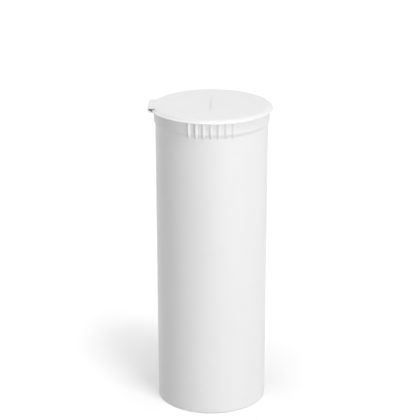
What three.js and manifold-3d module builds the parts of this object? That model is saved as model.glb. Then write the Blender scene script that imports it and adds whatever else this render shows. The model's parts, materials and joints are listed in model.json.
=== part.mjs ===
// A squeeze-top vial: one white polypropylene moulding with a bottle, a living hinge and a plug lid.
// Millimetres, +Z up. The bottle's axis is Z and it stands on z = 0. The hinge is on the -X side,
// and the two rows of grip ribs face -Y and +Y.
import * as THREE from "three";
import { mergeVertices, toCreasedNormals } from "three/addons/utils/BufferGeometryUtils.js";
import Module from "manifold-3d";

// Bottle wall and floor
const baseRadius = 24.15; // outside, just above the base edge
const wallDraft = 0.25; // radius gained from the base up to the collar
const wallThickness = 1.25;
const floorThickness = 1.4;
const rimHeight = 134.4; // the bottle's own height, lid left out

// Underside of the bottle
const pushUp = 1.0; // depth of the recess under the floor
const baseEdgeRadius = 0.7;
const standingRingWidth = 2.0;
const recessSlope = 1.0; // width of the slope between the standing ring and the recess
const floorFillet = 1.5; // inside corner between floor and wall
const gateRadius = 1.2; // moulding gate mark in the middle of the recess
const gateHeight = 0.3;

// Thickened collar under the rim
const collarStep = 0.65; // how far the collar stands out from the wall
const collarDepth = 5.0; // from the rim down to the collar's lower edge
const collarChamfer = 1.8; // height of the slope below that edge
const rimEdge = 0.25; // chamfer on the rim's outer edge

// Mouth
const mouthLeadIn = 0.6;
const grooveDepth = 0.25;
const grooveHeight = 1.8;

// Grip ribs: squeezing them ovals the rim and pops the lid
const ribCount = 7;
const ribPitch = THREE.MathUtils.degToRad(7.35);
const ribWidth = 1.75; // at its foot
const ribFlank = THREE.MathUtils.degToRad(40.5); // slope of its sides, from the collar's surface
const ribCrestRadius = 0.45;
const ribTopGap = 0.3; // between the ribs and the lid's flange
const ribFootRun = 0.6; // how far the ribs reach below the collar's slope
const ribTipShare = 0.12; // size of a rib's section at its lower tip

// Lid
const lidThickness = 1.6; // from the rim to the lid's top
const lidOverhang = 1.45; // the flange past the collar
const lidBevel = 2.0; // width of the sloping band round the flat top
const lidEdgeHeight = 0.4; // upright part of the flange's edge
const lidEdgeSoftening = 0.12;
const lidStepPlace = 0.57; // share of the band, from its outer edge, up to the fine step in it
const lidStepHeight = 0.15;
const panelRecess = 0.4; // shallow recess under the middle of the lid
const panelMargin = 0.25; // from the plug ring's bore to the edge of that recess

// Plug ring under the lid, with its snap bead
const plugClearance = 0.4; // to the mouth, all the way through the lid's swing
const plugWall = 1.2;
const beadDrop = 2.6; // from the rim down to the bead's middle
const toeLength = 2.4; // from the bead's middle down to the plug's toe
const beadProud = 0.2;
const beadHeight = 1.2;
const toeChamfer = 0.4;

// Living hinge
const leafWidth = 14.6;
const leafThickness = 0.3; // both leaves and the web between them
const leafPastFlange = 0.05; // the leaves end just outside the flange
const bodyLeafGap = 0.1; // between the bottle's leaf and the flange above it
const bodyLeafRootDepth = 1.2; // extra depth of the bottle's leaf at the collar
const bodyLeafRoot = 0.6; // how deep that leaf is let into the collar

// Facets
const turnSteps = 96; // around the bottle's axis
const arcSteps = 5; // along a small round of a profile
const swingSteps = 5; // down the plug's tapered side
const ribSteps = 8; // round a rib's crest
const webSteps = 10; // round a quarter of the hinge web
const mergeDistance = 1e-4;
const leastStep = 0.01; // profile points closer than this are one point

// Levels and radii that follow from the sizes above
const floorLevel = pushUp + floorThickness;
const shoulderRadius = baseRadius + wallDraft;
const mouthRadius = shoulderRadius - wallThickness;
const collarRadius = shoulderRadius + collarStep;
const collarLow = rimHeight - collarDepth;
const collarFoot = collarLow - collarChamfer;
const lidTop = rimHeight + lidThickness;
const lidRadius = collarRadius + lidOverhang;
const beadLevel = rimHeight - beadDrop;
const plugToe = beadLevel - toeLength;

// The closed hinge web is a half circle between the two leaves, and the lid turns about its crown.
const leafEnd = lidRadius + leafPastFlange;
const bodyLeafTop = rimHeight - bodyLeafGap;
const webRadius = (lidTop - bodyLeafTop) / 2; // to the middle of the web
const webLevel = (lidTop + bodyLeafTop - leafThickness) / 2;
const hingeDistance = leafEnd + webRadius;

const wasm = await Module();
wasm.setup();

// A closed geometry as a solid. Triangles that the merge draws to a line on the axis are dropped.
function toSolid(geometry) {
  geometry.deleteAttribute("normal");
  geometry.deleteAttribute("uv");
  const merged = mergeVertices(geometry, mergeDistance);
  const corners = merged.index.array;
  const kept = [];
  for (let i = 0; i < corners.length; i += 3) {
    const [a, b, c] = corners.slice(i, i + 3);
    if (a !== b && b !== c && c !== a) kept.push(a, b, c);
  }
  return new wasm.Manifold(
    new wasm.Mesh({
      numProp: 3,
      vertProperties: merged.attributes.position.array,
      triVerts: new Uint32Array(kept),
    }),
  );
}

function toGeometry(solid) {
  const { vertProperties, triVerts } = solid.getMesh();
  const geometry = new THREE.BufferGeometry();
  geometry.setAttribute("position", new THREE.BufferAttribute(vertProperties, 3));
  geometry.setIndex(new THREE.BufferAttribute(triVerts, 1));
  return toCreasedNormals(geometry, Math.PI / 6);
}

// Revolves a profile of (radius, height) about Z. The profile runs up the outside and down the inside.
function revolve(profile) {
  const points = profile
    .getPoints(arcSteps)
    .filter((p, i, all) => i === 0 || p.distanceTo(all[i - 1]) > leastStep);
  return new THREE.LatheGeometry(points, turnSteps).rotateX(Math.PI / 2);
}

// Extrudes a side view, drawn in x and z, across the hinge's width and centres it on y = 0.
function extrudeAcross(sideView) {
  return new THREE.ExtrudeGeometry(sideView, {
    depth: leafWidth,
    bevelEnabled: false,
    curveSegments: webSteps * 2,
  })
    .rotateX(Math.PI / 2)
    .translate(0, leafWidth / 2, 0);
}

// Skins a stack of rings, each turning anticlockwise seen from above, lowest ring first.
function loft(rings) {
  const count = rings[0].length;
  const last = (rings.length - 1) * count;
  const index = [];
  for (let level = 0; level < last; level += count) {
    for (let i = 0; i < count; i += 1) {
      const next = (i + 1) % count;
      index.push(level + i, level + next, level + count + next);
      index.push(level + i, level + count + next, level + count + i);
    }
  }
  for (let i = 1; i < count - 1; i += 1) {
    index.push(0, i + 1, i);
    index.push(last, last + i, last + i + 1);
  }
  const geometry = new THREE.BufferGeometry().setFromPoints(rings.flat());
  geometry.setIndex(index);
  return geometry;
}

// Wall, floor, collar and mouth in one profile.
function bottleShell() {
  const ringOuter = baseRadius - baseEdgeRadius;
  const ringInner = ringOuter - standingRingWidth;
  const floorRadius = baseRadius - wallThickness;
  const halfGroove = grooveHeight / 2;
  const profile = new THREE.Path();
  profile.moveTo(0, pushUp - gateHeight);
  profile.lineTo(gateRadius, pushUp - gateHeight);
  profile.lineTo(gateRadius, pushUp);
  profile.lineTo(ringInner - recessSlope, pushUp);
  profile.lineTo(ringInner, 0);
  profile.lineTo(ringOuter, 0);
  profile.absarc(ringOuter, baseEdgeRadius, baseEdgeRadius, -Math.PI / 2, 0, false);
  profile.lineTo(shoulderRadius, collarFoot);
  profile.lineTo(collarRadius, collarLow);
  profile.lineTo(collarRadius, rimHeight - rimEdge);
  profile.lineTo(collarRadius - rimEdge, rimHeight);
  profile.lineTo(mouthRadius + mouthLeadIn, rimHeight);
  profile.lineTo(mouthRadius, rimHeight - mouthLeadIn);
  profile.lineTo(mouthRadius, beadLevel + halfGroove);
  profile.lineTo(mouthRadius + grooveDepth, beadLevel + halfGroove - grooveDepth);
  profile.lineTo(mouthRadius + grooveDepth, beadLevel - halfGroove + grooveDepth);
  profile.lineTo(mouthRadius, beadLevel - halfGroove);
  profile.lineTo(mouthRadius, collarFoot);
  profile.lineTo(floorRadius, floorLevel + floorFillet);
  profile.absarc(floorRadius - floorFillet, floorLevel + floorFillet, floorFillet, 0, -Math.PI / 2, true);
  profile.lineTo(0, floorLevel);
  return toSolid(revolve(profile));
}

// One rib's section at a share of its full size, on a surface of the given radius, facing +X: two
// straight flanks and a rounded crest. The flanks run on into the collar as far as the crest stands out.
function ribSection(radius, height, share) {
  const halfWidth = (ribWidth / 2) * share;
  const crestRadius = ribCrestRadius * share;
  const arcCentre = halfWidth * Math.tan(ribFlank) - crestRadius / Math.cos(ribFlank);
  const crest = arcCentre + crestRadius;
  const backHalf = halfWidth + crest / Math.tan(ribFlank);
  const ring = [new THREE.Vector3(radius - crest, -backHalf, height)];
  for (let i = 0; i <= ribSteps; i += 1) {
    const turn = (2 * (i / ribSteps) - 1) * ribFlank;
    const out = radius + arcCentre + crestRadius * Math.cos(turn);
    ring.push(new THREE.Vector3(out, crestRadius * Math.sin(turn), height));
  }
  ring.push(new THREE.Vector3(radius - crest, backHalf, height));
  return ring;
}

// A rib is full size down the collar, then shrinks to a tip on the wall just below the collar's slope.
function gripRib(angle) {
  const rings = [
    ribSection(shoulderRadius, collarFoot - ribFootRun, ribTipShare),
    ribSection(collarRadius, collarLow, 1),
    ribSection(collarRadius, rimHeight - ribTopGap, 1),
  ];
  return toSolid(loft(rings).rotateZ(angle));
}

// The bottle's hinge leaf: a thin ledge with a wedge under it, let into the collar.
function bodyLeaf() {
  const collarSide = collarRadius - bodyLeafRoot;
  const sideView = new THREE.Shape();
  sideView.moveTo(0, bodyLeafTop);
  sideView.lineTo(-leafEnd, bodyLeafTop);
  sideView.lineTo(-leafEnd, bodyLeafTop - leafThickness);
  sideView.lineTo(-collarSide, bodyLeafTop - leafThickness - bodyLeafRootDepth);
  sideView.lineTo(0, bodyLeafTop - leafThickness - bodyLeafRootDepth);
  const core = new THREE.CylinderGeometry(collarSide, collarSide, rimHeight, turnSteps)
    .rotateX(Math.PI / 2)
    .translate(0, 0, rimHeight - collarDepth / 2);
  return toSolid(extrudeAcross(sideView)).subtract(toSolid(core));
}

function bottleBody() {
  let body = bottleShell().add(bodyLeaf());
  for (const side of [-Math.PI / 2, Math.PI / 2]) {
    for (let i = 0; i < ribCount; i += 1) {
      body = body.add(gripRib(side + (i - (ribCount - 1) / 2) * ribPitch));
    }
  }
  return body;
}

// Flat top, sloping band with its fine step, flange and the lid's hinge leaf, flush with the top.
function lidCover() {
  const recessRadius = plugOuter(rimHeight) - plugWall - panelMargin;
  const panelUnder = rimHeight + panelRecess;
  const edgeTop = rimHeight + lidEdgeHeight;
  const stepRadius = lidRadius - lidStepPlace * lidBevel;
  const stepFoot = THREE.MathUtils.lerp(edgeTop, lidTop, lidStepPlace);
  const profile = new THREE.Path();
  profile.moveTo(0, panelUnder);
  profile.lineTo(recessRadius, panelUnder);
  profile.lineTo(recessRadius, rimHeight);
  profile.lineTo(lidRadius - lidEdgeSoftening, rimHeight);
  profile.lineTo(lidRadius, rimHeight + lidEdgeSoftening);
  profile.lineTo(lidRadius, edgeTop);
  profile.lineTo(stepRadius, stepFoot);
  profile.lineTo(stepRadius, stepFoot + lidStepHeight);
  profile.lineTo(lidRadius - lidBevel, lidTop);
  profile.lineTo(0, lidTop);

  const sideView = new THREE.Shape();
  sideView.moveTo(0, lidTop);
  sideView.lineTo(-leafEnd, lidTop);
  sideView.lineTo(-leafEnd, lidTop - leafThickness);
  sideView.lineTo(0, lidTop - leafThickness);
  return toSolid(revolve(profile)).add(toSolid(extrudeAcross(sideView)));
}

// The plug's outer radius at a height. Its far side moves on a circle about the hinge, so the ring
// tapers downwards by as much as that circle leans out, and clears the mouth all the way.
function plugOuter(height) {
  const swing = hingeDistance + mouthRadius - plugClearance;
  return Math.sqrt(swing ** 2 - (webLevel - height) ** 2) - hingeDistance;
}

function plugRing() {
  const boreRadius = plugOuter(rimHeight) - plugWall;
  const beadLow = beadLevel - beadHeight / 2;
  const beadTop = beadLevel + beadHeight / 2;
  const profile = new THREE.Path();
  profile.moveTo(boreRadius, plugToe);
  profile.lineTo(plugOuter(plugToe + toeChamfer) - toeChamfer, plugToe);
  for (let i = 0; i <= swingSteps; i += 1) {
    const height = THREE.MathUtils.lerp(plugToe + toeChamfer, beadLow, i / swingSteps);
    profile.lineTo(plugOuter(height), height);
  }
  profile.quadraticCurveTo(
    plugOuter(beadLevel) + 2 * beadProud,
    beadLevel,
    plugOuter(beadTop),
    beadTop,
  );
  profile.lineTo(plugOuter(rimHeight), rimHeight);
  profile.lineTo(boreRadius, rimHeight);
  profile.lineTo(boreRadius, plugToe);
  return toSolid(revolve(profile));
}

// The web that bends: a half circle of even thickness from the bottle's leaf up to the lid's leaf.
function hingeWeb() {
  const outer = webRadius + leafThickness / 2;
  const inner = webRadius - leafThickness / 2;
  const sideView = new THREE.Shape();
  sideView.absarc(-leafEnd, webLevel, outer, Math.PI / 2, (3 * Math.PI) / 2, false);
  sideView.absarc(-leafEnd, webLevel, inner, (3 * Math.PI) / 2, Math.PI / 2, true);
  return toSolid(extrudeAcross(sideView));
}

function whitePolypropylene(shade) {
  return new THREE.MeshStandardMaterial({ color: shade, roughness: 0.42, metalness: 0 });
}

function part(name, solid, material) {
  const mesh = new THREE.Mesh(toGeometry(solid), material);
  mesh.name = name;
  return mesh;
}

const bottle = new THREE.Group();
bottle.add(part("bottle_body", bottleBody(), whitePolypropylene("#ededec")));
bottle.add(part("hinge_web", hingeWeb(), whitePolypropylene("#f0f0ef")));

const lid = new THREE.Group();
lid.add(part("lid_cover", lidCover(), whitePolypropylene("#ededec")));
lid.add(part("lid_plug_ring", plugRing(), whitePolypropylene("#ededec")));

const popTopBottle = new THREE.Group();
popTopBottle.add(bottle, lid);

export default popTopBottle;
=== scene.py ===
import json
import math

import bmesh
import bpy
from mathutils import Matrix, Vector

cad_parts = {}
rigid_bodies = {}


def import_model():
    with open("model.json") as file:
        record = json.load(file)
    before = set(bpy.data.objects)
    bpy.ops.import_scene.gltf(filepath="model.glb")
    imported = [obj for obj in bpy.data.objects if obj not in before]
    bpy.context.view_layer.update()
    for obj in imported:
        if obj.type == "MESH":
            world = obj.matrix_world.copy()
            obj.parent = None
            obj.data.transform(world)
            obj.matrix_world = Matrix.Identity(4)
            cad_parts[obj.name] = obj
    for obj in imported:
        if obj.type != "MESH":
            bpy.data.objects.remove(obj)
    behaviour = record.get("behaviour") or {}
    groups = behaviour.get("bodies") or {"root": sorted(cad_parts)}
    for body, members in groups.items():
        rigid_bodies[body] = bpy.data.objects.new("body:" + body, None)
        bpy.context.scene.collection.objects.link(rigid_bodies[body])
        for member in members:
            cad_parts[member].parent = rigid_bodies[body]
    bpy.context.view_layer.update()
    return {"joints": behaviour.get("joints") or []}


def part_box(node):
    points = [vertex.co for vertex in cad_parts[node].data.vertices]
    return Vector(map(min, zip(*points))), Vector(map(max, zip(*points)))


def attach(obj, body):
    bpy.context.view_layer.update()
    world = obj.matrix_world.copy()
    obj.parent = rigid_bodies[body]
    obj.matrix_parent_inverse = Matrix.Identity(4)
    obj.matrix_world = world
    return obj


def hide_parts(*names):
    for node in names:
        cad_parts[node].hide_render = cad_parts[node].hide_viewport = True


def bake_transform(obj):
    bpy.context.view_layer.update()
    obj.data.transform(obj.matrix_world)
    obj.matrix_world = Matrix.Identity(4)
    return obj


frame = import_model()
mm = 0.001
near = 0.01  # mm, two places this close are the same place
mergeReach = near / 10  # mm, corners this close are made one
facing = 0.9  # a face whose normal goes this far along an axis faces that way

# A squeeze-top vial, one white polypropylene moulding: bottle, living hinge, lid and plug ring.
# Its sizes are in millimetres and are turned to metres where a mesh is made.
bodyLow, bodyHigh = [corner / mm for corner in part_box("bottle_body")]
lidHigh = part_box("lid_cover")[1] / mm
webLow, webHigh = [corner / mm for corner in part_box("hinge_web")]
rimHeight = bodyHigh.z
lidTop = lidHigh.z
lidRadius = lidHigh.x
collarRadius = bodyHigh.x  # neither ribs nor hinge on the +X side
leafEnd = -bodyLow.x
leafWidth = webHigh.y - webLow.y
hingePlace = Vector(frame["joints"][0]["pos_m"]) / mm


def deselectAll():
    if bpy.context.mode != "OBJECT":
        bpy.ops.object.mode_set(mode="OBJECT")
    bpy.ops.object.select_all(action="DESELECT")


def editPiece(piece):
    deselectAll()
    piece.select_set(True)
    bpy.context.view_layer.objects.active = piece
    bpy.ops.object.mode_set(mode="EDIT")


def newPiece(name):
    piece = bpy.context.object  # the primitive just added
    piece.name = name
    piece.data.name = name
    bpy.ops.object.transform_apply(location=True, rotation=True, scale=True)
    return piece


def pick(piece, kind, wanted):
    # wanted is asked about each face or edge, in metres
    bpy.ops.mesh.select_mode(type=kind)
    bpy.ops.mesh.select_all(action="DESELECT")
    mesh = bmesh.from_edit_mesh(piece.data)
    for part in mesh.faces if kind == "FACE" else mesh.edges:
        part.select = wanted(part)
    mesh.select_flush_mode()
    bmesh.update_edit_mesh(piece.data)


def isOnRing(point, radius, height):
    return abs(math.hypot(point.x, point.y) / mm - radius) < near and abs(point.z / mm - height) < near


def roundRing(piece, radius, height, width, segments):
    editPiece(piece)
    pick(piece, "EDGE", lambda edge: all(isOnRing(end.co, radius, height) for end in edge.verts))
    bpy.ops.mesh.bevel(offset=width * mm, segments=segments, affect="EDGES")
    deselectAll()


def extrudeRing(start, stop):
    # carries the selected ring or disc from one (radius, height) to the next
    bpy.ops.mesh.extrude_region_move(TRANSFORM_OT_translate={"value": (0, 0, (stop[1] - start[1]) * mm)})
    growth = stop[0] / start[0]
    bpy.ops.transform.resize(value=(growth, growth, 1), center_override=(0, 0, stop[1] * mm))


def turnOutline(name, outline, sides, isClosedRing=False):
    # a disc that is drawn up the outline, or a bare circle that comes back to its start
    deselectAll()
    bpy.ops.mesh.primitive_circle_add(
        vertices=sides,
        radius=outline[0][0] * mm,
        fill_type="NOTHING" if isClosedRing else "NGON",
        location=(0, 0, outline[0][1] * mm),
    )
    piece = newPiece(name)
    editPiece(piece)
    bpy.ops.mesh.select_all(action="SELECT")
    stations = outline + outline[:1] if isClosedRing else outline
    for start, stop in zip(stations, stations[1:]):
        extrudeRing(start, stop)
    bpy.ops.mesh.select_all(action="SELECT")
    bpy.ops.mesh.remove_doubles(threshold=mergeReach * mm)
    bpy.ops.mesh.normals_make_consistent(inside=False)
    deselectAll()
    return piece


def wallRings(low, high, spacing):
    # even stations up or down a tapered wall, both ends included
    count = max(1, round(abs(high[1] - low[1]) / spacing))
    return [tuple(Vector(low).lerp(Vector(high), i / count)) for i in range(count + 1)]


def applyModifier(piece, kind, **settings):
    deselectAll()
    piece.select_set(True)
    bpy.context.view_layer.objects.active = piece
    modifier = piece.modifiers.new(kind.title(), kind)
    for name, value in settings.items():
        setattr(modifier, name, value)
    bpy.ops.object.modifier_apply(modifier=modifier.name)


def combine(piece, other, operation):
    applyModifier(piece, "BOOLEAN", object=other, operation=operation, solver="EXACT")
    bpy.data.objects.remove(other)


shading = {
    "creaseAngle": 32,  # degrees, sharper edges stay crisp
    "faceWeight": 80,  # how strongly large faces keep their own shade up to their edges
}


def finishSurface(piece):
    editPiece(piece)
    bpy.ops.mesh.select_all(action="SELECT")
    bpy.ops.mesh.remove_doubles(threshold=mergeReach * mm)
    deselectAll()
    piece.select_set(True)
    bpy.context.view_layer.objects.active = piece
    bpy.ops.object.shade_smooth_by_angle(angle=math.radians(shading["creaseAngle"]))
    applyModifier(piece, "WEIGHTED_NORMAL", keep_sharp=True, weight=shading["faceWeight"])


# The living hinge: a leaf on the lid, a leaf on the bottle and the strap that bends between them
hinge = {
    "lidLeaf": 0.28,  # thickness
    "bodyLeaf": 0.25,  # thickness
    "strap": 0.47,  # thickness at the fold's outer side
    "strapTaper": 0.18,  # how much thinner the strap is at the lid, and thicker at the bottle
    "bendSpread": 1.2,  # how far above and below the fold's axis the strap's bending ends
    "heelLength": 0.95,  # outer end of the bottle's leaf that thickens towards the strap
    "bodyLeafGap": 0.05,  # between the bottle's leaf and the flange above it
    "rootDepth": 0.55,  # extra depth of the bottle's leaf at the collar
    "rootInset": 0.6,  # how deep that leaf is let into the collar
    "bury": 1.7,  # length of a leaf's inner end that the wall or lid hides
    "edgeRound": 0.07,
    "edgeSteps": 4,
    "webSteps": 40,
}
bodyLeafTop = rimHeight - hinge["bodyLeafGap"]
bodyLeafLow = bodyLeafTop - hinge["bodyLeaf"]
foldLevel = (lidTop + bodyLeafLow) / 2


def makeLeaf(name, outer, inner, top, thick):
    # a flat plate across the hinge's width
    deselectAll()
    place = (-(outer + inner) / 2 * mm, 0, (top - thick / 2) * mm)
    bpy.ops.mesh.primitive_cube_add(size=mm, location=place)
    bpy.ops.transform.resize(value=(outer - inner, leafWidth, thick))
    return newPiece(name)


def isLongEdge(edge):
    # an edge that runs along a leaf, at one side of it
    onSide = all(abs(abs(end.co.y) / mm - leafWidth / 2) < near for end in edge.verts)
    return onSide and abs(edge.verts[0].co.x - edge.verts[1].co.x) / mm > near


def isAcross(edge, x, height):
    # the edge that runs across a leaf at one place
    return all(abs(end.co.x / mm - x) < near and abs(end.co.z / mm - height) < near for end in edge.verts)


def roundLongEdges(leaf):
    # like the strap's edges
    editPiece(leaf)
    pick(leaf, "EDGE", isLongEdge)
    bpy.ops.mesh.bevel(offset=hinge["edgeRound"] * mm, segments=hinge["edgeSteps"], affect="EDGES")
    deselectAll()


vial = {
    "sides": 384,
    "collarStep": 0.65,  # how far the collar stands out from the wall
    "collarDepth": 5.0,
    "collarSlope": 1.5,  # height of the slope from the collar to the wall
    "wallDraft": 0.25,  # how much nearer to the axis the wall is at the base
    "wall": 1.25,
    "floor": 1.4,
    "pushUp": 1.0,  # height of the recess under the floor
    "standingRing": 2.0,  # width of the ring that the bottle stands on
    "recessSlope": 1.0,
    "baseRound": 0.7,
    "floorRound": 1.5,
    "gateRadius": 1.2,
    "gateDrop": 0.3,
    "rimRound": 0.25,
    "mouthLeadIn": 0.6,
    "grooveDepth": 0.25,
    "grooveHeight": 1.8,
    "beadDrop": 2.6,  # from the rim down to the middle of the groove and of the plug's bead
    "softRound": 0.25,
    "fineRound": 0.1,
    "ringSpacing": 12.0,
}
shoulderRadius = collarRadius - vial["collarStep"]
baseRadius = shoulderRadius - vial["wallDraft"]
mouthRadius = shoulderRadius - vial["wall"]
floorRadius = baseRadius - vial["wall"]
floorLevel = vial["pushUp"] + vial["floor"]
collarLow = rimHeight - vial["collarDepth"]
collarFoot = collarLow - vial["collarSlope"]
beadLevel = rimHeight - vial["beadDrop"]


def makeVialShell():
    ringOuter = baseRadius - vial["baseRound"]
    ringInner = ringOuter - vial["standingRing"]
    gateLevel = vial["pushUp"] - vial["gateDrop"]
    grooveRadius = mouthRadius + vial["grooveDepth"]
    grooveHalf = vial["grooveHeight"] / 2
    grooveFlat = grooveHalf - vial["grooveDepth"]
    corners = {
        "gate": (vial["gateRadius"], gateLevel),
        "gateRoot": (vial["gateRadius"], vial["pushUp"]),
        "recess": (ringInner - vial["recessSlope"], vial["pushUp"]),
        "ringInner": (ringInner, 0),
        "base": (baseRadius, 0),
        "collarFoot": (shoulderRadius, collarFoot),
        "collarLow": (collarRadius, collarLow),
        "rimOuter": (collarRadius, rimHeight),
        "rimInner": (mouthRadius + vial["mouthLeadIn"], rimHeight),
        "mouth": (mouthRadius, rimHeight - vial["mouthLeadIn"]),
        "grooveTop": (mouthRadius, beadLevel + grooveHalf),
        "grooveTopDeep": (grooveRadius, beadLevel + grooveFlat),
        "grooveLowDeep": (grooveRadius, beadLevel - grooveFlat),
        "grooveLow": (mouthRadius, beadLevel - grooveHalf),
        "neck": (mouthRadius, collarFoot),
        "floor": (floorRadius, floorLevel),
    }
    outline = [corners[n] for n in ("gate", "gateRoot", "recess", "ringInner")]
    outline += wallRings(corners["base"], corners["collarFoot"], vial["ringSpacing"])
    outline += [corners[n] for n in ("collarLow", "rimOuter", "rimInner", "mouth", "grooveTop")]
    outline += [corners[n] for n in ("grooveTopDeep", "grooveLowDeep", "grooveLow")]
    outline += wallRings(corners["neck"], corners["floor"], vial["ringSpacing"])
    shell = turnOutline("vialBody", outline, vial["sides"])
    # corner, width of its rounding, steps round it
    roundings = [
        ("base", vial["baseRound"], 6),
        ("floor", vial["floorRound"], 6),
        ("rimOuter", vial["rimRound"], 4),
        ("collarFoot", vial["softRound"], 3),
        ("collarLow", vial["softRound"], 3),
    ]
    fineCorners = ("gate", "gateRoot", "recess", "ringInner", "rimInner", "mouth")
    roundings += [(corner, vial["fineRound"], 2) for corner in fineCorners]
    for corner, width, segments in roundings:
        roundRing(shell, *corners[corner], width, segments)
    return shell


grip = {
    "perSide": 7,
    "pitch": 7.35,  # degrees
    "width": 1.75,
    "flankAngle": 40.5,  # degrees, from the collar's surface
    "crestRadius": 0.45,
    "crestSteps": 7,
    "backDepth": 0.6,  # how much deeper the rib is let into the collar
    "topGap": 0.3,  # between the ribs and the lid's flange
    "footRun": 0.55,  # how far the ribs reach below the collar's slope
    "tipShare": 0.12,  # size of the section at a rib's lower tip
    "topRound": 0.2,
    "kneeRound": 0.5,
    "roundSteps": 3,
    "seamAngle": 5,  # degrees, a flatter edge is a seam in a flat face
}


def isRibCorner(edge, height):
    # the ring round a rib at one level, without the seam across its flat end
    onLevel = all(abs(end.co.z / mm - height) < near for end in edge.verts)
    return onLevel and edge.calc_face_angle(0) > math.radians(grip["seamAngle"])


def makeRib():
    # a rounded ridge in the collar on the -Y side, which shrinks to a tip on the wall below the slope
    deselectAll()
    top = rimHeight - grip["topGap"]
    foot = collarFoot - grip["footRun"]
    apex = grip["width"] / 2 * math.tan(math.radians(grip["flankAngle"]))
    bpy.ops.mesh.primitive_cylinder_add(
        vertices=3,
        radius=mm,
        depth=(top - collarLow) * mm,
        location=(0, -collarRadius * mm, (top + collarLow) / 2 * mm),
        rotation=(0, 0, math.pi),
    )
    # the cylinder is a triangle whose back lies half an apex height inside the collar, so it is
    # 1.5 times as wide there as at the collar's surface
    backWidth = 1.5 * grip["width"]
    unitSide = 2 * math.sin(math.radians(60))  # side of a triangle in a circle of radius 1
    bpy.ops.transform.resize(value=(backWidth / unitSide, apex, 1))
    rib = newPiece("gripRib")
    editPiece(rib)
    crest = -collarRadius - apex
    pick(rib, "EDGE", lambda edge: all(abs(end.co.y / mm - crest) < near for end in edge.verts))
    crestWidth = grip["crestRadius"] * math.tan(math.radians(grip["flankAngle"]))
    bpy.ops.mesh.bevel(offset=crestWidth * mm, segments=grip["crestSteps"], affect="EDGES")
    pick(rib, "FACE", lambda face: face.normal.y > facing)
    bpy.ops.mesh.extrude_region_move(TRANSFORM_OT_translate={"value": (0, grip["backDepth"] * mm, 0)})
    pick(rib, "FACE", lambda face: face.normal.z < -facing)
    inwards = (0, vial["collarStep"] * mm, (foot - collarLow) * mm)
    bpy.ops.mesh.extrude_region_move(TRANSFORM_OT_translate={"value": inwards})
    bpy.ops.transform.resize(
        value=(grip["tipShare"], grip["tipShare"], 1),
        center_override=(0, -shoulderRadius * mm, foot * mm),
    )
    for height, width in ((top, grip["topRound"]), (collarLow, grip["kneeRound"])):
        pick(rib, "EDGE", lambda edge: isRibCorner(edge, height))
        bpy.ops.mesh.bevel(offset=width * mm, segments=grip["roundSteps"], affect="EDGES")
    deselectAll()
    return rib


def makeGrip():
    # a row of ribs in front and another behind, where the rim is squeezed
    first = makeRib()
    ribs = []
    for side in (0, 180):
        for i in range(grip["perSide"]):
            deselectAll()
            first.select_set(True)
            bpy.context.view_layer.objects.active = first
            bpy.ops.object.duplicate(linked=False)
            turn = math.radians(side + (i - (grip["perSide"] - 1) / 2) * grip["pitch"])
            bpy.ops.transform.rotate(value=turn, orient_axis="Z", center_override=(0, 0, 0))
            bpy.ops.object.transform_apply(location=True, rotation=True, scale=True)
            ribs.append(bpy.context.object)
    bpy.data.objects.remove(first)
    deselectAll()
    for rib in ribs:
        rib.select_set(True)
    bpy.context.view_layer.objects.active = ribs[0]
    bpy.ops.object.join()
    return bpy.context.object


def makeBodyLeaf():
    # its top rises to the strap's thickness at the outer end, its underside goes down to the collar
    collarSide = collarRadius - hinge["rootInset"]
    leaf = makeLeaf("bodyLeaf", leafEnd, collarSide, bodyLeafTop, hinge["bodyLeaf"])
    editPiece(leaf)
    heelStart = -leafEnd + hinge["heelLength"]
    bpy.ops.mesh.select_all(action="SELECT")
    bpy.ops.mesh.bisect(plane_co=(heelStart * mm, 0, 0), plane_no=(1, 0, 0))
    pick(leaf, "EDGE", lambda edge: isAcross(edge, -leafEnd, bodyLeafTop))
    heelRise = hinge["strap"] + hinge["strapTaper"] - hinge["bodyLeaf"]
    bpy.ops.transform.translate(value=(0, 0, heelRise * mm))
    pick(leaf, "EDGE", lambda edge: isAcross(edge, -collarSide, bodyLeafLow))
    bpy.ops.transform.translate(value=(0, 0, -hinge["rootDepth"] * mm))
    pick(leaf, "FACE", lambda face: face.normal.x > facing)
    bpy.ops.mesh.extrude_region_move(TRANSFORM_OT_translate={"value": (hinge["bury"] * mm, 0, 0)})
    roundLongEdges(leaf)
    # a round core cuts the leaf's inner end, so that it follows the collar
    bpy.ops.mesh.primitive_cylinder_add(
        vertices=vial["sides"],
        radius=collarSide * mm,
        depth=vial["collarDepth"] * mm,
        location=(0, 0, rimHeight * mm),
    )
    combine(leaf, newPiece("core"), "DIFFERENCE")
    return leaf


def makeVialBody():
    body = makeVialShell()
    combine(body, makeGrip(), "UNION")
    combine(body, makeBodyLeaf(), "UNION")
    finishSurface(body)
    print("vial body: shell, grip ribs and hinge leaf are one mesh")
    return body


lid = {
    "sides": 384,
    "bevel": 2.0,  # width of the sloping band round the flat top
    "edgeHeight": 0.4,  # upright part of the flange's edge
    "stepPlace": 0.57,  # share of the band, from its outer edge, up to the fine step in it
    "stepHeight": 0.15,
    "panelRecess": 0.4,  # shallow recess under the middle
    "panelMargin": 0.25,  # from the plug ring's bore to that recess
    "topRound": 0.25,
    "edgeRound": 0.15,
    "undersideRound": 0.1,
    "linePlace": -0.4,  # fine moulded line across the top, square to the hinge's arm
    "lineLength": 25.0,
    "lineWidth": 1.0,
    "lineDepth": 0.6,
    "lineRunOuts": {"front": 9.0, "rear": 4.0},  # length over which each end rises to the top
}
plug = {
    "sides": 320,
    "clearance": 0.4,  # to the mouth, all through the lid's swing
    "wall": 1.2,
    "toeLength": 2.4,  # from the bead's middle down to the toe
    "toeChamfer": 0.4,
    "beadProud": 0.2,
    "beadHeight": 1.2,
    "beadSteps": 8,
    "swingSteps": 5,
    "toeRound": 0.12,
    "toeSteps": 2,
}


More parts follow.
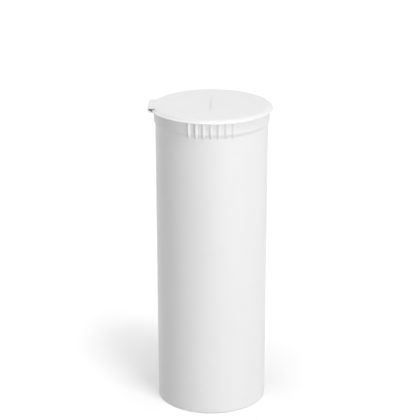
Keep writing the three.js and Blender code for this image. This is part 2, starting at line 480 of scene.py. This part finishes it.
def plugOuter(height):
    # the ring's far side moves on a circle about the hinge, so it leans in towards the toe
    swing = -hingePlace.x + mouthRadius - plug["clearance"]
    return math.sqrt(swing**2 - (hingePlace.z - height) ** 2) + hingePlace.x


def makeLidShell():
    recessRadius = plugOuter(rimHeight) - plug["wall"] - lid["panelMargin"]
    edgeTop = rimHeight + lid["edgeHeight"]
    stepRadius = lidRadius - lid["stepPlace"] * lid["bevel"]
    stepLow = edgeTop + lid["stepPlace"] * (lidTop - edgeTop)
    corners = {
        "recess": (recessRadius, rimHeight + lid["panelRecess"]),
        "recessEdge": (recessRadius, rimHeight),
        "edgeLow": (lidRadius, rimHeight),
        "edgeTop": (lidRadius, edgeTop),
        "stepLow": (stepRadius, stepLow),
        "stepTop": (stepRadius, stepLow + lid["stepHeight"]),
        "top": (lidRadius - lid["bevel"], lidTop),
    }
    shell = turnOutline("lidShell", list(corners.values()), lid["sides"])
    # corner: width of its rounding, steps round it
    roundings = {
        "top": (lid["topRound"], 5),
        "edgeTop": (lid["edgeRound"], 3),
        "edgeLow": (lid["edgeRound"], 3),
        "recessEdge": (lid["undersideRound"], 2),
        "recess": (lid["undersideRound"], 2),
    }
    for corner, (width, segments) in roundings.items():
        roundRing(shell, *corners[corner], width, segments)
    leafRoot = lidRadius - lid["bevel"] - hinge["bury"]
    leaf = makeLeaf("lidLeaf", leafEnd, leafRoot, lidTop, hinge["lidLeaf"])
    roundLongEdges(leaf)
    combine(shell, leaf, "UNION")
    combine(shell, makeTopLine(), "DIFFERENCE")
    finishSurface(shell)
    print("lid shell: flat top, sloping band, flange and hinge leaf")
    return shell


def makeTopLine():
    # the cutter for the line: a thin bar whose underside rises to the top at both ends
    deselectAll()
    bpy.ops.mesh.primitive_cube_add(size=mm, location=(lid["linePlace"] * mm, 0, lidTop * mm))
    bpy.ops.transform.resize(value=(lid["lineWidth"], lid["lineLength"], 2 * lid["lineDepth"]))
    line = newPiece("topLine")
    editPiece(line)
    half = lid["lineLength"] / 2
    knees = (lid["lineRunOuts"]["front"] - half, half - lid["lineRunOuts"]["rear"])
    for knee in knees:
        bpy.ops.mesh.select_all(action="SELECT")
        bpy.ops.mesh.bisect(plane_co=(0, knee * mm, 0), plane_no=(0, 1, 0))
    pick(
        line,
        "EDGE",
        lambda edge: all(
            abs(abs(end.co.y / mm) - half) < near and end.co.z / mm < lidTop for end in edge.verts
        ),
    )
    bpy.ops.transform.translate(value=(0, 0, lid["lineDepth"] * mm))
    deselectAll()
    return line


def makeLidPlug():
    bore = plugOuter(rimHeight) - plug["wall"]
    toe = beadLevel - plug["toeLength"]
    chamferTop = toe + plug["toeChamfer"]
    beadLow = beadLevel - plug["beadHeight"] / 2
    outline = [(bore, toe), (plugOuter(chamferTop) - plug["toeChamfer"], toe)]
    for i in range(plug["swingSteps"]):
        height = chamferTop + (beadLow - chamferTop) * i / plug["swingSteps"]
        outline.append((plugOuter(height), height))
    for i in range(plug["beadSteps"] + 1):
        share = i / plug["beadSteps"]
        height = beadLow + plug["beadHeight"] * share
        swell = 4 * share * (1 - share)  # 0 at the bead's two edges, 1 at its middle
        outline.append((plugOuter(height) + plug["beadProud"] * swell, height))
    outline += [(plugOuter(rimHeight), rimHeight), (bore, rimHeight)]
    ring = turnOutline("lidPlug", outline, plug["sides"], isClosedRing=True)
    toeCorners = outline[:3]
    for radius, height in toeCorners:
        roundRing(ring, radius, height, plug["toeRound"], plug["toeSteps"])
    finishSurface(ring)
    print("lid plug: tapered ring with its snap bead")
    return ring


def makeHingeStrap():
    # a section at the lid's leaf is swept half a turn down to the bottle's leaf
    deselectAll()
    thick = hinge["strap"]
    place = (-leafEnd * mm, 0, (lidTop - thick / 2) * mm)
    bpy.ops.mesh.primitive_plane_add(size=mm, location=place, rotation=(0, math.pi / 2, 0))
    bpy.ops.transform.resize(value=(1, leafWidth, thick))
    strap = newPiece("hingeStrap")
    editPiece(strap)
    bpy.ops.mesh.select_all(action="SELECT")
    bpy.ops.mesh.bevel(offset=hinge["edgeRound"] * mm, segments=hinge["edgeSteps"], affect="VERTICES")
    bpy.ops.mesh.select_all(action="SELECT")
    bpy.ops.mesh.spin(
        steps=hinge["webSteps"],
        angle=math.pi,
        center=(-leafEnd * mm, 0, foldLevel * mm),
        axis=(0, 1, 0),
    )
    bpy.ops.mesh.select_all(action="SELECT")
    bpy.ops.mesh.normals_make_consistent(inside=False)
    # then its inner side goes up, which thins it at the lid and thickens it at the bottle
    middle = lidTop - foldLevel - thick / 2
    pick(
        strap,
        "EDGE",
        lambda edge: all(
            math.hypot(end.co.x / mm + leafEnd, end.co.z / mm - foldLevel) < middle for end in edge.verts
        ),
    )
    bpy.ops.transform.translate(value=(0, 0, hinge["strapTaper"] * mm))
    deselectAll()
    finishSurface(strap)
    print("hinge strap: half a turn between the leaves")
    return strap


vialBody = makeVialBody()
lidShell = makeLidShell()
lidPlug = makeLidPlug()
hingeStrap = makeHingeStrap()


def colour(hexCode):
    # sRGB hex to the linear values that Blender works in
    channels = [int(hexCode[i : i + 2], 16) / 255 for i in (1, 3, 5)]
    return [c / 12.92 if c <= 0.04045 else ((c + 0.055) / 1.055) ** 2.4 for c in channels] + [1]


def addNode(tree, kind, settings=None, values=None, links=None):
    # settings are the node's own, values fill its sockets, links join them to other nodes' outputs
    node = tree.nodes.new(kind)
    for name, value in (settings or {}).items():
        setattr(node, name, value)
    for socket, value in (values or {}).items():
        node.inputs[socket].default_value = value
    for socket, source in (links or {}).items():
        tree.links.new(source, node.inputs[socket])
    return node


def newMaterial(name):
    material = bpy.data.materials.new(name)
    material.use_nodes = True
    material.node_tree.nodes.clear()
    return material


# Polypropylene is waxy: a broad satin sheen, a little light let in under the skin, and a milky white
# that drifts by a shade where the pigment flowed. The mould's fine texture dulls it.
polypropylene = {
    "ior": 1.49,
    "subsurface": 0.12,  # share of the light that goes under the skin
    "lightReach": 1.2,  # mm under the skin
    "flowSize": 9.0,  # mm, patches of pigment
    "flowStretch": 3.5,  # patches are longer along the way the melt ran
    "sinkSize": 14.0,  # mm, slow waviness of a cooled wall
    "sinkDepth": 0.012,  # mm
    "grainSize": 0.25,  # mm; the mould's real grain is finer, drawn this coarse so that it shows
    "grainDepth": 0.0012,  # mm
}
finishes = {
    "bottle": {"light": "#f0f0f0", "shade": "#ececec", "roughness": (0.38, 0.46)},
    "lid": {"light": "#f0f0f0", "shade": "#ececec", "roughness": (0.40, 0.48)},
    "hinge": {"light": "#f8f8f8", "shade": "#f5f5f5", "roughness": (0.36, 0.44)},  # painted light: a lighter white that stands in for light showing through the thin strap
}


def mouldedPolypropylene(slotName):
    finish = finishes[slotName]
    made = polypropylene
    material = newMaterial("moulded white polypropylene, " + slotName)
    tree = material.node_tree
    place = addNode(tree, "ShaderNodeTexCoord").outputs["Object"]
    alongFlow = addNode(
        tree,
        "ShaderNodeMapping",
        values={"Scale": (1, 1, 1 / made["flowStretch"])},
        links={"Vector": place},
    )
    flow = addNode(
        tree,
        "ShaderNodeTexNoise",
        values={"Scale": 1 / (made["flowSize"] * mm), "Detail": 3, "Roughness": 0.5},
        links={"Vector": alongFlow.outputs["Vector"]},
    )
    pigment = addNode(
        tree,
        "ShaderNodeMix",
        settings={"data_type": "RGBA"},
        values={6: colour(finish["shade"]), 7: colour(finish["light"])},  # its two colour sockets
        links={0: flow.outputs["Fac"]},
    )
    sinks = addNode(
        tree,
        "ShaderNodeTexNoise",
        values={"Scale": 1 / (made["sinkSize"] * mm), "Detail": 1},
        links={"Vector": place},
    )
    grain = addNode(
        tree,
        "ShaderNodeTexNoise",
        values={"Scale": 1 / (made["grainSize"] * mm), "Detail": 2},
        links={"Vector": place},
    )
    waviness = addNode(
        tree,
        "ShaderNodeBump",
        values={"Strength": 1, "Distance": made["sinkDepth"] * mm},
        links={"Height": sinks.outputs["Fac"]},
    )
    skin = addNode(
        tree,
        "ShaderNodeBump",
        values={"Strength": 1, "Distance": made["grainDepth"] * mm},
        links={"Height": grain.outputs["Fac"], "Normal": waviness.outputs["Normal"]},
    )
    satin = addNode(
        tree,
        "ShaderNodeMapRange",
        values={"To Min": finish["roughness"][0], "To Max": finish["roughness"][1]},
        links={"Value": flow.outputs["Fac"]},
    )
    plastic = addNode(
        tree,
        "ShaderNodeBsdfPrincipled",
        values={
            "IOR": made["ior"],
            "Subsurface Weight": made["subsurface"],
            "Subsurface Radius": (1, 1, 1),
            "Subsurface Scale": made["lightReach"] * mm,
        },
        links={
            "Base Color": pigment.outputs[2],
            "Roughness": satin.outputs["Result"],
            "Normal": skin.outputs["Normal"],
        },
    )
    addNode(tree, "ShaderNodeOutputMaterial", links={"Surface": plastic.outputs["BSDF"]})
    return material


plastics = {slotName: mouldedPolypropylene(slotName) for slotName in finishes}
for piece, slotName in ((vialBody, "bottle"), (lidShell, "lid"), (lidPlug, "lid"), (hingeStrap, "hinge")):
    piece.data.materials.clear()
    piece.data.materials.append(plastics[slotName])
print("materials: three finishes of white polypropylene")

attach(vialBody, "bottle")
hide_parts("bottle_body")
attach(lidShell, "lid")
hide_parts("lid_cover")
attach(lidPlug, "lid")
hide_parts("lid_plug_ring")
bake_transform(hingeStrap)
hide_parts("hinge_web")


studio = {
    "floorWidth": 6.0,  # metres
    "floorColour": "#f1f1f1",
    "floorBounce": "#cacaca",  # the paper's colour in the light that it throws back on the bottle
    # painted shade: less glow near the bottle darkens the floor's shadow at the base, and more glow
    # further out fades that shadow
    "floorGlow": (0.199, 0.347),  # added where the floor is seen: at the bottle, and away from it
    "glowReach": (0.03, 0.09),  # metres from the bottle's axis
    "glowRise": 0.3,  # more glow for each metre, where the lamps fall off
    "skyColour": "#ffffff",
    "ambient": 0.0,  # how much the sky lights the object
    "aim": (0, 0, 0.07),  # metres, where every lamp points
    # name: azimuth from the front towards +X and elevation in degrees,
    # then distance, width and height in metres, and watts
    "lamps": {
        "key": (32, 62, 1.1, 0.3, 0.3, 2.35),
        "overhead": (20, 85, 1.1, 0.8, 0.8, 4.58),
        "frontSoftbox": (35, 24, 1.5, 1.0, 0.8, 5.86),
        "frontLow": (35, 6, 1.5, 1.0, 0.5, 8.0),
        "leftFill": (-40, 28, 1.5, 0.8, 0.8, 3.73),
        "rightEdge": (110, 12, 1.4, 0.6, 0.8, 3.4),
        "leftEdge": (-110, 28, 1.3, 0.4, 0.9, 2.33),
        "leftRear": (-140, 14, 1.3, 0.4, 0.9, 3.86),
        "rear": (180, 35, 1.4, 1.0, 0.6, 0.89),
    },
}


def makeFloor():
    # a hair below the bottle, so that their faces don't lie in one plane
    deselectAll()
    bpy.ops.mesh.primitive_plane_add(size=studio["floorWidth"], location=(0, 0, -near * mm))
    floor = newPiece("floor")
    material = newMaterial("matt white paper")
    tree = material.node_tree
    seen = addSeenByViewer(tree)
    paperColour = addNode(
        tree,
        "ShaderNodeMix",
        settings={"data_type": "RGBA"},
        values={6: colour(studio["floorBounce"]), 7: colour(studio["floorColour"])},
        links={0: seen},
    )
    paper = addNode(tree, "ShaderNodeBsdfDiffuse", links={"Color": paperColour.outputs[2]})
    place = addNode(tree, "ShaderNodeTexCoord").outputs["Object"]
    distance = addNode(tree, "ShaderNodeVectorMath", settings={"operation": "LENGTH"}, links={0: place})
    glow = addNode(
        tree,
        "ShaderNodeMapRange",
        values={
            "From Min": studio["glowReach"][0],
            "From Max": studio["glowReach"][1],
            "To Min": studio["floorGlow"][0],
            "To Max": studio["floorGlow"][1],
        },
        links={"Value": distance.outputs["Value"]},
    )
    rising = addNode(
        tree,
        "ShaderNodeMath",
        settings={"operation": "MULTIPLY_ADD"},
        values={1: studio["glowRise"]},
        links={0: distance.outputs["Value"], 2: glow.outputs["Result"]},
    )
    shown = addNode(
        tree,
        "ShaderNodeMath",
        settings={"operation": "MULTIPLY"},
        links={0: seen, 1: rising.outputs[0]},
    )
    white = addNode(tree, "ShaderNodeEmission", links={"Strength": shown.outputs[0]})
    both = addNode(tree, "ShaderNodeAddShader", links={0: paper.outputs[0], 1: white.outputs[0]})
    addNode(tree, "ShaderNodeOutputMaterial", links={"Surface": both.outputs[0]})
    floor.data.materials.append(material)


def addSeenByViewer(tree):
    # 1 for what the camera sees straight, mirrored or through glass, 0 for the light on the object
    path = addNode(tree, "ShaderNodeLightPath")
    total = path.outputs["Is Camera Ray"]
    for name in ("Is Glossy Ray", "Is Transmission Ray"):
        either = {0: total, 1: path.outputs[name]}
        total = addNode(tree, "ShaderNodeMath", {"operation": "MAXIMUM"}, links=either).outputs[0]
    return total


def makeWorld():
    world = bpy.data.worlds.new("white studio")
    bpy.context.scene.world = world
    world.use_nodes = True
    tree = world.node_tree
    tree.nodes.clear()
    level = addNode(
        tree,
        "ShaderNodeMapRange",
        values={"To Min": studio["ambient"], "To Max": 1},
        links={"Value": addSeenByViewer(tree)},
    )
    sky = addNode(
        tree,
        "ShaderNodeBackground",
        values={"Color": colour(studio["skyColour"])},
        links={"Strength": level.outputs["Result"]},
    )
    addNode(tree, "ShaderNodeOutputWorld", links={"Surface": sky.outputs[0]})


def makeLamps():
    aim = Vector(studio["aim"])
    for name, (azimuth, elevation, distance, width, height, watts) in studio["lamps"].items():
        turn, tilt = math.radians(azimuth), math.radians(elevation)
        away = Vector((math.sin(turn) * math.cos(tilt), -math.cos(turn) * math.cos(tilt), math.sin(tilt)))
        bpy.ops.object.light_add(type="AREA", location=aim + away * distance)
        lamp = bpy.context.object
        lamp.name = name
        lamp.rotation_euler = away.to_track_quat("Z", "Y").to_euler()
        lamp.data.shape = "RECTANGLE"
        lamp.data.size = width
        lamp.data.size_y = height
        lamp.data.energy = watts


view = {
    "place": (0.00853, -0.66385, 0.3241),  # metres
    "tilt": 70.388,  # degrees up from straight down
    "turn": 0.8,  # degrees, because the camera stands a little to the right of the ribs' middle
    "lens": 137.14,  # mm
    "sensor": 36,  # mm
}


def makeCamera():
    tilt, turn = math.radians(view["tilt"]), math.radians(view["turn"])
    bpy.ops.object.camera_add(location=view["place"], rotation=(tilt, 0, turn))
    camera = bpy.context.object
    camera.data.sensor_width = view["sensor"]
    camera.data.lens = view["lens"]
    bpy.context.scene.camera = camera


makeFloor()
makeWorld()
makeLamps()
makeCamera()
bpy.context.scene.view_settings.view_transform = "Standard"
print("studio: floor, world, lamps and camera")
